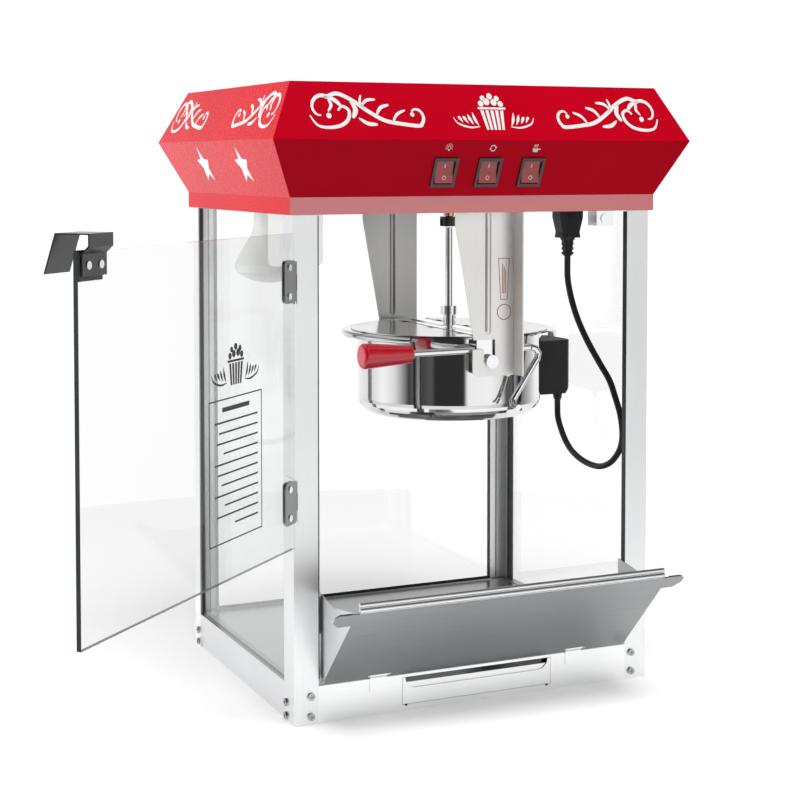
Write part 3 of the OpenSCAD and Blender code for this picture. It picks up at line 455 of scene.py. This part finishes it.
# The blended first stretches have more rings than the rest
line = curve_through([Vector(p) * MM for p in route], [14, 22, 22] + [7] * 18)
wide_way = Vector((0.5, 0.86, 0)).normalized()


def cord_ring(p, d):
    n = d.cross(wide_way).normalized()
    b = d.cross(n)
    ring = []
    for k in range(CORD_SIDES):
        a = 2 * math.pi * k / CORD_SIDES
        # Two cores side by side: a flat section with a shallow waist
        waist = 1 - 0.16 * math.exp(-(math.cos(a) / 0.25) ** 2)
        wide, thin = CORD_HALF_WIDE * math.cos(a), CORD_HALF_THIN * math.sin(a) * waist
        ring.append(p + (n * wide + b * thin) * MM)
    return ring


verts, faces = tube(line, cord_ring, CORD_SIDES)
cord = add_mesh("kettle_lead", verts, faces, cord_black, None, 60)
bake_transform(cord)
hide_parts("kettle_cord")

# ------------------------------------------------------------------ printed ornaments

# How high a print stands and how far its underside clears the surface, in metres
PRINT, PRINT_GAP = 0.00018, 0.00003


def flat_print(name, shapes, place, normal, material, body):
    """Thin solids for 2-D outlines: place(u, v) is a point on the surface, normal its outward side."""
    verts, faces = [], []
    lift = Vector(normal).normalized() * PRINT
    foot = Vector(normal).normalized() * PRINT_GAP
    for points, rings in shapes:
        start = len(verts)
        n = len(points)
        for u, v in points:
            verts.append(place(u, v) + foot)
        for u, v in points:
            verts.append(place(u, v) + lift)
        edges = {}
        for ring in rings:
            faces.append(tuple(start + n + k for k in ring))
            faces.append(tuple(start + k for k in reversed(ring)))
            for a, b in zip(ring, ring[1:] + ring[:1]):
                edges[(a, b)] = True
        for a, b in edges:
            if (b, a) not in edges:
                faces.append((start + a, start + b, start + n + b, start + n + a))
    return add_mesh(name, verts, faces, material, body)


THINNEST = 0.12


def stroke(points, widths, steps=8):
    """A tapering brush stroke along 2-D points; widths are half widths at the points."""
    full = [Vector((p[0], p[1], w)) for p, w in zip(points, widths)]
    smooth = curve_through(full, steps)
    sides = []
    for i, p in enumerate(smooth):
        a, b = smooth[max(i - 1, 0)], smooth[min(i + 1, len(smooth) - 1)]
        d = Vector((b.x - a.x, b.y - a.y))
        d.normalize()
        w = max(p.z, THINNEST)
        sides.append(((p.x - d.y * w, p.y + d.x * w), (p.x + d.y * w, p.y - d.x * w)))
    pts = [q for pair in sides for q in pair]
    rings = [(2 * i, 2 * i + 1, 2 * i + 3, 2 * i + 2) for i in range(len(sides) - 1)]
    return pts, rings


def poly(points):
    return list(points), [tuple(range(len(points)))]


def box(u0, v0, u1, v1):
    return poly([(u0, v0), (u1, v0), (u1, v1), (u0, v1)])


def around_point(cx, cy, r, degrees):
    turn = math.radians(degrees)
    return cx + r * math.cos(turn), cy + r * math.sin(turn)


def disc(cx, cy, r, n=20):
    return poly([around_point(cx, cy, r, 360 * k / n) for k in range(n)])


def spiral(cx, cy, r0, r1, a0, a1, n):
    return [around_point(cx, cy, r0 + (r1 - r0) * k / n, a0 + (a1 - a0) * k / n) for k in range(n + 1)]


def taper(n, low, high):
    """Half widths for n points, low at the ends and high in the middle."""
    return [low + (high - low) * math.sin(math.pi * (k + 0.4) / (n + 0.2)) ** 0.8 for k in range(n)]


def scroll():
    """A vine scroll 122 wide and 37 high: a large curl at u = 0, a small one at u = 122."""
    parts = []
    stem = spiral(16, 17, 5, 15.5, 250, 60, 8)
    stem += [(34, 33), (48, 27), (62, 17), (78, 8), (94, 5)]
    stem += spiral(111, 13, 10, 5, -80, 130, 7)
    parts.append(stroke(stem, taper(len(stem), 0.5, 1.9)))
    under = [(3, 12), (9, 3), (20, 0.8), (33, 3), (41, 9), (43, 17), (37, 21), (32, 17)]
    parts.append(stroke(under, taper(len(under), 0.3, 1.7)))
    for leaf, wide in (
        ([(20, 30), (30, 27), (36, 21)], 2.0), ([(46, 27), (50, 18), (46, 10)], 2.4),
        ([(56, 21), (63, 27), (72, 28)], 1.5), ([(52, 10), (60, 5), (70, 4)], 1.8),
        ([(70, 12), (76, 20), (85, 23)], 1.6), ([(86, 6), (92, 14), (101, 18)], 1.4),
        ([(22, 16), (26, 22), (24, 27)], 1.5), ([(60, 18), (56, 25), (58, 32)], 1.2),
    ):
        pts = curve_through([Vector((*p, 0)) for p in leaf], 3)
        parts.append(stroke([(p.x, p.y) for p in pts], taper(len(pts), 0.15, wide)))
    parts.append(disc(22, 12, 2.6))
    parts.append(disc(108, 14, 2.2))
    return parts


# The cup's foot against its brim, and how much of its room each popped kernel fills
CUP_FOOT, KERNEL_SHARE = 0.78, 0.82


def emblem():
    """A striped cup of popped corn between two sprays."""
    parts = []
    for i in range(5):
        t0, t1 = -13 + i * 5.4, -13 + i * 5.4 + 3.4
        parts.append(poly([(t0 * CUP_FOOT, 0), (t1 * CUP_FOOT, 0), (t1, 19), (t0, 19)]))
    parts.append(box(-15, 20, 15, 22))
    for cx, cy, r in (
        (-11, 25.5, 3.6), (-4.5, 27.5, 4.2), (3.5, 27, 4.0), (10.5, 25.5, 3.6),
        (-8, 31, 3.2), (0, 33, 3.7), (7.5, 31, 3.1),
    ):
        parts.append(disc(cx, cy, r * KERNEL_SHARE, 14))
    for side in (-1, 1):
        for k in range(4):
            x = side * (21 + 5.5 * k)
            pts = [(x - side * 3, 4 + k), (x, 10 + k * 0.5), (x + side * 1.5, 17 - k * 2)]
            parts.append(stroke(pts, [0.2, 1.5, 0.2], 6))
        base = [(side * 17, 3), (side * 28, 2.2), (side * 40, 6), (side * 44, 12)]
        parts.append(stroke(base, [0.4, 0.9, 0.8, 0.2], 6))
    return parts


def star(cx, cy, r):
    notch = r * 0.45
    pts = [around_point(cx, cy, notch if k % 2 else r, 90 + 36 * k) for k in range(10)]
    n = len(pts)
    return pts + [(cx, cy)], [(k, (k + 1) % n, n) for k in range(n)]


def moved(parts, du, dv, flip=False):
    """Shapes shifted by (du, dv), mirrored left to right first if flip is set."""
    out = []
    for pts, rings in parts:
        new = [((-u if flip else u) + du, v + dv) for u, v in pts]
        out.append((new, [tuple(reversed(r)) for r in rings] if flip else rings))
    return out


# The canopy's heights, half widths and how far its widest line stands out, in mm
NECK_Z, WIDE_Z, TOP_Z = 504.5, 559.0, 613.6
HALF_X, HALF_Y, OUT = 200.0, 159.25, 26.5
UP_SLOPE, LOW_SLOPE = OUT / (TOP_Z - WIDE_Z), OUT / (WIDE_Z - NECK_Z)


def front_up(u, z):
    return Vector((u, -(HALF_Y + UP_SLOPE * (TOP_Z - z)), z)) * MM


def front_low(u, z):
    return Vector((u, -(HALF_Y + LOW_SLOPE * (z - NECK_Z)), z)) * MM


def left_up(u, z):
    return Vector((-(HALF_X + UP_SLOPE * (TOP_Z - z)), u, z)) * MM


def left_low(u, z):
    return Vector((-(HALF_X + LOW_SLOPE * (z - NECK_Z)), u, z)) * MM


def right_up(u, z):
    p = left_up(u, z)
    return Vector((-p.x, p.y, p.z))


def right_low(u, z):
    p = left_low(u, z)
    return Vector((-p.x, p.y, p.z))


n_front_up, n_front_low = (0, -1, UP_SLOPE), (0, -1, -LOW_SLOPE)
flat_print("scroll_front_left", moved(scroll(), -189, 569), front_up, n_front_up, ink_white, "cabinet")
flat_print("scroll_front_right", moved(scroll(), 197, 569, True), front_up, n_front_up, ink_white, "cabinet")
flat_print("emblem_front", moved(emblem(), 6, 569), front_up, n_front_up, ink_white, "cabinet")
SCROLL_AT, SCROLL_Z = 165, 570
for side, out, upper in (("left", -1, left_up), ("right", 1, right_up)):
    normal = (out, 0, UP_SLOPE)
    rear, front = moved(scroll(), SCROLL_AT, SCROLL_Z, True), moved(scroll(), -SCROLL_AT, SCROLL_Z)
    flat_print("scroll_" + side + "_rear", rear, upper, normal, ink_white, "cabinet")
    flat_print("scroll_" + side + "_front", front, upper, normal, ink_white, "cabinet")
stars = [star(54, 534, 19), star(-68, 534, 19)]
flat_print("stars_left", stars, left_low, (-1, 0, -LOW_SLOPE), ink_white, "cabinet")
flat_print("stars_right", stars, right_low, (1, 0, -LOW_SLOPE), ink_white, "cabinet")


def ring_shape(cx, cy, r, w, a0=0.0, a1=360.0, n=24):
    pts = []
    for k in range(n + 1):
        a = a0 + (a1 - a0) * k / n
        pts += [around_point(cx, cy, r - w, a), around_point(cx, cy, r, a)]
    return pts, [(2 * k, 2 * k + 1, 2 * k + 3, 2 * k + 2) for k in range(n)]


LAMP_X, MOTOR_X, HEAT_X = -45.5, 2.0, 49.5
BULB_Z, HALF_RAY = 551.5, 0.22

# A bulb with rays
icons = [ring_shape(LAMP_X, BULB_Z, 1.9, 0.45), box(LAMP_X - 0.7, 548.6, LAMP_X + 0.7, 549.6)]
for k in range(8):
    a = math.radians(-20 + 31.5 * k)
    along, across = Vector((math.cos(a), math.sin(a))), Vector((math.sin(a), -math.cos(a))) * HALF_RAY
    middle = Vector((LAMP_X, BULB_Z))
    near, far = middle + along * 2.7, middle + along * 4.1
    icons.append(poly([tuple(p) for p in (near + across, far + across, far - across, near - across)]))
# A turning arrow pair
icons += [ring_shape(MOTOR_X, 551.2, 3.1, 0.8, 20, 160), ring_shape(MOTOR_X, 551.2, 3.1, 0.8, 200, 340)]
icons.append(poly([(5.9, 552.6), (3.7, 552.3), (5.0, 550.7)]))
icons.append(poly([(-1.9, 549.8), (0.3, 550.1), (-1.0, 551.7)]))
# A pan with steam
icons.append(poly([(46.6, 547.6), (51.4, 547.6), (52.2, 551), (45.8, 551)]))
icons.append(poly([(52.2, 549.7), (54.6, 550.1), (54.6, 550.8), (52.2, 550.6)]))
for dx in (-1.6, 0, 1.6):
    steam = [(49 + dx, 552), (48.5 + dx, 553.1), (49.4 + dx, 554.1), (49 + dx, 555.2)]
    icons.append(stroke(steam, [0.25] * 4, 4))
flat_print("switch_symbols", icons, front_low, n_front_low, ink_white, "cabinet")

# ------------------------------------------------------------------ rocker marks

SWITCH_Z = 528
ROCKER_TOP, ROCKER_TURN = 1.9, math.radians(-11)
tilt = math.atan2(1.5, 11.2)
slope = math.atan(LOW_SLOPE)


def band_place(x):
    return Matrix.Translation(front_low(x, SWITCH_Z)) @ Matrix.Rotation(math.pi / 2 + slope, 4, "X")


for body, x in (("lamp_rocker", LAMP_X), ("motor_rocker", MOTOR_X), ("heat_rocker", HEAT_X)):
    base = band_place(x) @ Matrix.Translation((0, 0, -2 * MM)) @ Matrix.Rotation(ROCKER_TURN, 4, "X")

    def on_upper(u, v, base=base):
        return base @ (Vector((u, v, ROCKER_TOP + v * math.tan(tilt))) * MM)

    def on_lower(u, v, base=base):
        return base @ (Vector((u, v, ROCKER_TOP - v * math.tan(tilt))) * MM)

    turn = base.to_3x3()
    flat_print("mark_on_" + body, [box(-0.45, 4.2, 0.45, 7.8)], on_upper,
               turn @ Vector((0, -math.sin(tilt), math.cos(tilt))), ink_white, body)
    flat_print("mark_off_" + body, [ring_shape(0, -6.0, 2.0, 0.55)], on_lower,
               turn @ Vector((0, math.sin(tilt), math.cos(tilt))), ink_white, body)

# ------------------------------------------------------------------ plain prints on door and hanger

turn = Matrix.Rotation(DOOR_TURN, 4, "Z")
hinge = Vector((-197.0, -162.3, 0))
INNER_FACE = 4.3


def on_door(u, z):
    """u is the distance from the hinge along the door, on the pane's inner face."""
    closed = Vector((u, INNER_FACE, z))
    return (turn @ closed + hinge) * MM


def frame_shape(u0, z0, u1, z1, w):
    return [box(u0, z0, u1, z0 + w), box(u0, z1 - w, u1, z1),
            box(u0, z0 + w, u0 + w, z1 - w), box(u1 - w, z0 + w, u1, z1 - w)]


door_print = frame_shape(77, 210, 175, 335, 1.2)
door_print.append(box(101, 323.5, 151, 327.5))
for k, end in enumerate((165, 157, 161, 149, 165, 159, 153, 165, 147, 161, 129)):
    z = 314 - 9.0 * k
    door_print.append(box(85, z, end, z + 1.6))
door_print += moved(emblem(), 126, 345)
flat_print("door_print", door_print, on_door, turn @ Vector((0, 1, 0)), ink_black, "door")


HANGER_FACE_Y = -119.75


def on_hanger(u, z):
    return Vector((u, HANGER_FACE_Y, z)) * MM


# An upside-down triangle cut off at its point, three bars and a ring
hanger_print = [
    poly([(40.5, 440), (53.5, 440), (53.3, 439.4), (40.7, 439.4)]),
    box(43, 397.4, 51, 398),
    poly([(40.5, 440), (41.1, 440), (43.6, 397.4), (43, 397.4)]),
    poly([(52.9, 440), (53.5, 440), (51, 397.4), (50.4, 397.4)]),
]
for k in range(3):
    u, high = 44.9 + 1.7 * k, 434 - 3 * k
    hanger_print.append(poly([(u, 404), (u + 0.7, 404), (u + 1.0, high), (u + 0.3, high)]))
hanger_print.append(ring_shape(47.3, 385, 8.2, 0.8))
flat_print("hanger_print", hanger_print, on_hanger, (0, -1, 0), ink_red, "cabinet")

# ------------------------------------------------------------------ rubber pads behind the flap's ears

FLAP_AXIS = Vector((0, -155, 40))
PAD_BACK, PAD_FRONT = -2.2, -0.9

flap_place = Matrix.Translation(FLAP_AXIS * MM) @ Matrix.Rotation(FLAP_TURN, 4, "X")
pad_outline = [(170, 104.5), (180, 104.5), (186, 111.5), (186, 117.5), (183, 121), (170, 121)]
for side, name in ((-1, "ear_pad_left"), (1, "ear_pad_right")):
    count = len(pad_outline)
    corners = [(side * x, y, z) for y in (PAD_BACK, PAD_FRONT) for x, z in pad_outline]
    verts = [flap_place @ (Vector(corner) * MM) for corner in corners]
    faces = [tuple(range(count)), tuple(range(2 * count - 1, count - 1, -1))]
    faces += [(k, (k + 1) % count, count + (k + 1) % count, count + k) for k in range(count)]
    add_mesh(name, verts, faces, rubber, "serving_flap")

# ------------------------------------------------------------------ floor and studio


def card(name, size, place, look_at, power):
    """A soft box that lights the paint but isn't mirrored in the metal."""
    light = bpy.data.lights.new(name, "AREA")
    light.shape = "RECTANGLE"
    light.size, light.size_y = size
    light.energy = power
    lamp_object = bpy.data.objects.new(name, light)
    bpy.context.scene.collection.objects.link(lamp_object)
    lamp_object.location = place
    lamp_object.rotation_euler = (Vector(look_at) - Vector(place)).to_track_quat("-Z", "Y").to_euler()
    lamp_object.visible_glossy = False


# The paper floor takes shadows near the machine and fades to plain white further out
FLOOR_RADIUS, FADE_FROM, FADE_TO = 0.95, 0.35, 0.85

floor_shader = Shader("floor_paper")
far = floor_shader.tree.nodes.new("ShaderNodeVectorMath")
far.operation = "LENGTH"
floor_shader.link(floor_shader.coord.outputs["Object"], far.inputs[0])
spread = floor_shader.tree.nodes.new("ShaderNodeMapRange")
spread.inputs["From Min"].default_value = FADE_FROM
spread.inputs["From Max"].default_value = FADE_TO
floor_shader.link(far.outputs["Value"], spread.inputs["Value"])
paper = [(0.0, (0.86, 0.86, 0.86)), (1.0, (0.0, 0.0, 0.0))]
floor_shader.tint(spread.outputs["Result"], paper)
glow = floor_shader.span(spread.outputs["Result"], 0.3, 1.0)
floor_shader.link(glow, floor_shader.bsdf.inputs["Emission Strength"])
floor_shader.put("Emission Color", (1.0, 1.0, 1.0, 1.0))
floor_shader.put("Roughness", 0.9)
floor_shader.put("Specular IOR Level", 0.1)
bpy.ops.mesh.primitive_circle_add(
    vertices=96, radius=FLOOR_RADIUS, fill_type="NGON", location=(0, 0, -0.0004))
floor = bpy.context.object
floor.name = "floor"
floor.data.materials.append(floor_shader.material)
floor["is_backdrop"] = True

world = bpy.data.worlds.new("studio")
bpy.context.scene.world = world
world.use_nodes = True
tree = world.node_tree
background = tree.nodes["Background"]
coord = tree.nodes.new("ShaderNodeTexCoord")
parts_of = tree.nodes.new("ShaderNodeSeparateXYZ")
tree.links.new(coord.outputs["Generated"], parts_of.inputs[0])
angle = tree.nodes.new("ShaderNodeMath")
angle.operation = "ARCTAN2"
tree.links.new(parts_of.outputs["X"], angle.inputs[0])
tree.links.new(parts_of.outputs["Y"], angle.inputs[1])


def world_ramp(source, low, high, stops):
    """Brightness of the studio along a direction's angle or height."""
    share = tree.nodes.new("ShaderNodeMapRange")
    share.inputs["From Min"].default_value = low
    share.inputs["From Max"].default_value = high
    tree.links.new(source, share.inputs["Value"])
    ramp = tree.nodes.new("ShaderNodeValToRGB")
    while len(ramp.color_ramp.elements) < len(stops):
        ramp.color_ramp.elements.new(0.5)
    for element, (place, value) in zip(ramp.color_ramp.elements, stops):
        element.position = place
        element.color = (value, value, value, 1)
    tree.links.new(share.outputs[0], ramp.inputs["Fac"])
    return ramp.outputs["Color"]


# Round the studio, in shares of a turn: 0 and 1 are -Y, 0.25 is -X, 0.5 is +Y, 0.75 is +X
around = world_ramp(angle.outputs[0], -math.pi, math.pi, [
    (0.0, 1.0), (0.008, 1.0), (0.02, 0.03), (0.118, 0.03), (0.13, 0.1), (0.17, 0.06), (0.18, 0.3),
    (0.19, 0.3), (0.198, 0.1), (0.212, 0.05), (0.238, 0.4), (0.27, 0.85), (0.32, 1.1), (0.38, 0.8),
    (0.42, 0.9), (0.5, 1.0), (0.6, 1.0), (0.7, 1.0), (0.74, 0.6), (0.8, 0.12), (0.865, 0.1),
    (0.885, 0.85), (0.93, 1.05), (1.0, 1.0)])
# From straight down to straight up
upwards = world_ramp(parts_of.outputs["Z"], -1.0, 1.0, [
    (0.0, 0.35), (0.3, 0.6), (0.42, 1.0), (0.57, 1.0), (0.68, 0.35), (0.8, 0.2), (1.0, 0.2)])
product = tree.nodes.new("ShaderNodeMix")
product.data_type = "RGBA"
product.blend_type = "MULTIPLY"
product.inputs["Factor"].default_value = 1.0
tree.links.new(around, product.inputs["A"])
tree.links.new(upwards, product.inputs["B"])
path = tree.nodes.new("ShaderNodeLightPath")
mix = tree.nodes.new("ShaderNodeMix")
mix.data_type = "RGBA"
mix.inputs["B"].default_value = (1.0, 1.0, 1.0, 1)
tree.links.new(path.outputs["Is Camera Ray"], mix.inputs["Factor"])
tree.links.new(product.outputs["Result"], mix.inputs["A"])
tree.links.new(mix.outputs["Result"], background.inputs["Color"])
background.inputs["Strength"].default_value = 1.1

card("key_left", (1.6, 1.2), (-2.2, 0.1, 0.75), (0, 0, 0.4), 42)
card("over_front", (1.8, 1.2), (0.1, -0.9, 2.6), (0, -0.1, 0.3), 52)
card("fill_right", (1.2, 1.2), (2.2, -0.6, 0.9), (0, 0, 0.4), 14)

# ------------------------------------------------------------------ size

low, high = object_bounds()
